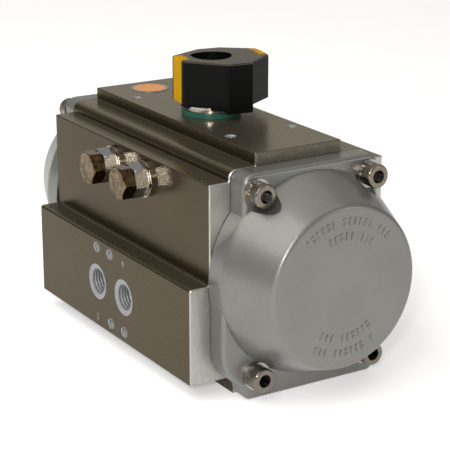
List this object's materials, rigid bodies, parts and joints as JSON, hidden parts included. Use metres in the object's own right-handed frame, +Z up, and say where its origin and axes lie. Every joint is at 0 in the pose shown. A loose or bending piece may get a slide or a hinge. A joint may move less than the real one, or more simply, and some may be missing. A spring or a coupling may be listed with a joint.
{
  "type": "rotary pneumatic actuator",
  "caption": "Quarter-turn rack-and-pinion pneumatic actuator: extruded housing with air ports and accessory face, domed end caps, position indicator, travel-stop bolts and a square drive.",
  "frame": {"origin": "on the drive axis, in the flat valve-mounting face underneath", "axes": "+Z up along the drive axis towards the indicator, +X along the housing towards the front cap, -Y the side with the air ports"},
  "size_m": [0.2036, 0.099, 0.126],
  "materials": {
    "anodised_body": "satin hard anodised, olive grey",
    "cast_cap": "smooth silver-grey powder coat",
    "stainless": "polished stainless steel",
    "seal_rubber": "matt nitrile rubber",
    "bearing_plastic": "natural acetal",
    "green_plastic": "teal-green filled plastic",
    "black_plastic": "moulded black nylon",
    "yellow_plastic": "moulded yellow",
    "shaft_steel": "nickel-plated steel",
    "cam_steel": "machined steel",
    "piston_aluminium": "as-cast and machined",
    "spring_steel": "coated spring wire",
    "label_film": "printed film, plain orange disc"
  },
  "bodies": {
    "housing": {"body_housing": "anodised_body", "end_cap_front": "cast_cap", "end_cap_rear": "cast_cap", "cap_seal_front": "seal_rubber", "cap_seal_rear": "seal_rubber", "channel_seal_front": "seal_rubber", "channel_seal_rear": "seal_rubber", "cap_screws_front": "stainless", "cap_screws_rear": "stainless", "cap_washers_front": "stainless", "cap_washers_rear": "stainless", "upper_shaft_bush": "bearing_plastic", "lower_shaft_bush": "bearing_plastic", "inner_thrust_bearing": "bearing_plastic", "outer_thrust_ring": "green_plastic", "return_springs_front": "spring_steel", "return_springs_rear": "spring_steel", "stop_lock_nuts": "stainless", "stop_washers": "stainless", "stop_seals": "seal_rubber", "round_label": "label_film"},
    "shaft": {"drive_shaft": "shaft_steel", "stop_cam": "cam_steel", "indicator_body": "black_plastic", "indicator_inserts": "yellow_plastic", "indicator_screw": "stainless", "snap_ring": "stainless", "thrust_washer": "stainless", "upper_shaft_seal": "seal_rubber", "lower_shaft_seal": "seal_rubber"},
    "front_piston": {"piston_front": "piston_aluminium", "piston_seal_front": "seal_rubber", "piston_guide_front": "bearing_plastic", "rack_pad_front": "bearing_plastic"},
    "rear_piston": {"piston_rear": "piston_aluminium", "piston_seal_rear": "seal_rubber", "piston_guide_rear": "bearing_plastic", "rack_pad_rear": "bearing_plastic"},
    "closed_stop": {"stop_bolt_closed": "stainless"},
    "open_stop": {"stop_bolt_open": "stainless"}
  },
  "joints": [
    {"name": "shaft_turn", "type": "hinge", "parent": "housing", "child": "shaft", "pos_m": [0, 0, 0.05], "axis": [0, 0, 1], "range_deg": [0, 90], "stiffness_Nm_per_rad": 1, "springref_deg": -45.84},
    {"name": "front_piston_stroke", "type": "slide", "parent": "housing", "child": "front_piston", "axis": [1, 0, 0], "range_m": [0, 0.02131], "deforming": ["return_springs_front"]},
    {"name": "rear_piston_stroke", "type": "slide", "parent": "housing", "child": "rear_piston", "axis": [-1, 0, 0], "range_m": [0, 0.02131], "deforming": ["return_springs_rear"]},
    {"name": "closed_stop_adjust", "type": "slide", "parent": "housing", "child": "closed_stop", "axis": [0, -1, 0], "range_m": [0, 0.003]},
    {"name": "open_stop_adjust", "type": "slide", "parent": "housing", "child": "open_stop", "axis": [0, -1, 0], "range_m": [0, 0.003]}
  ],
  "couplings": [
    {"joint": "front_piston_stroke", "follows": "shaft_turn", "m_per_rad": 0.0135},
    {"joint": "rear_piston_stroke", "follows": "shaft_turn", "m_per_rad": 0.0135}
  ]
}
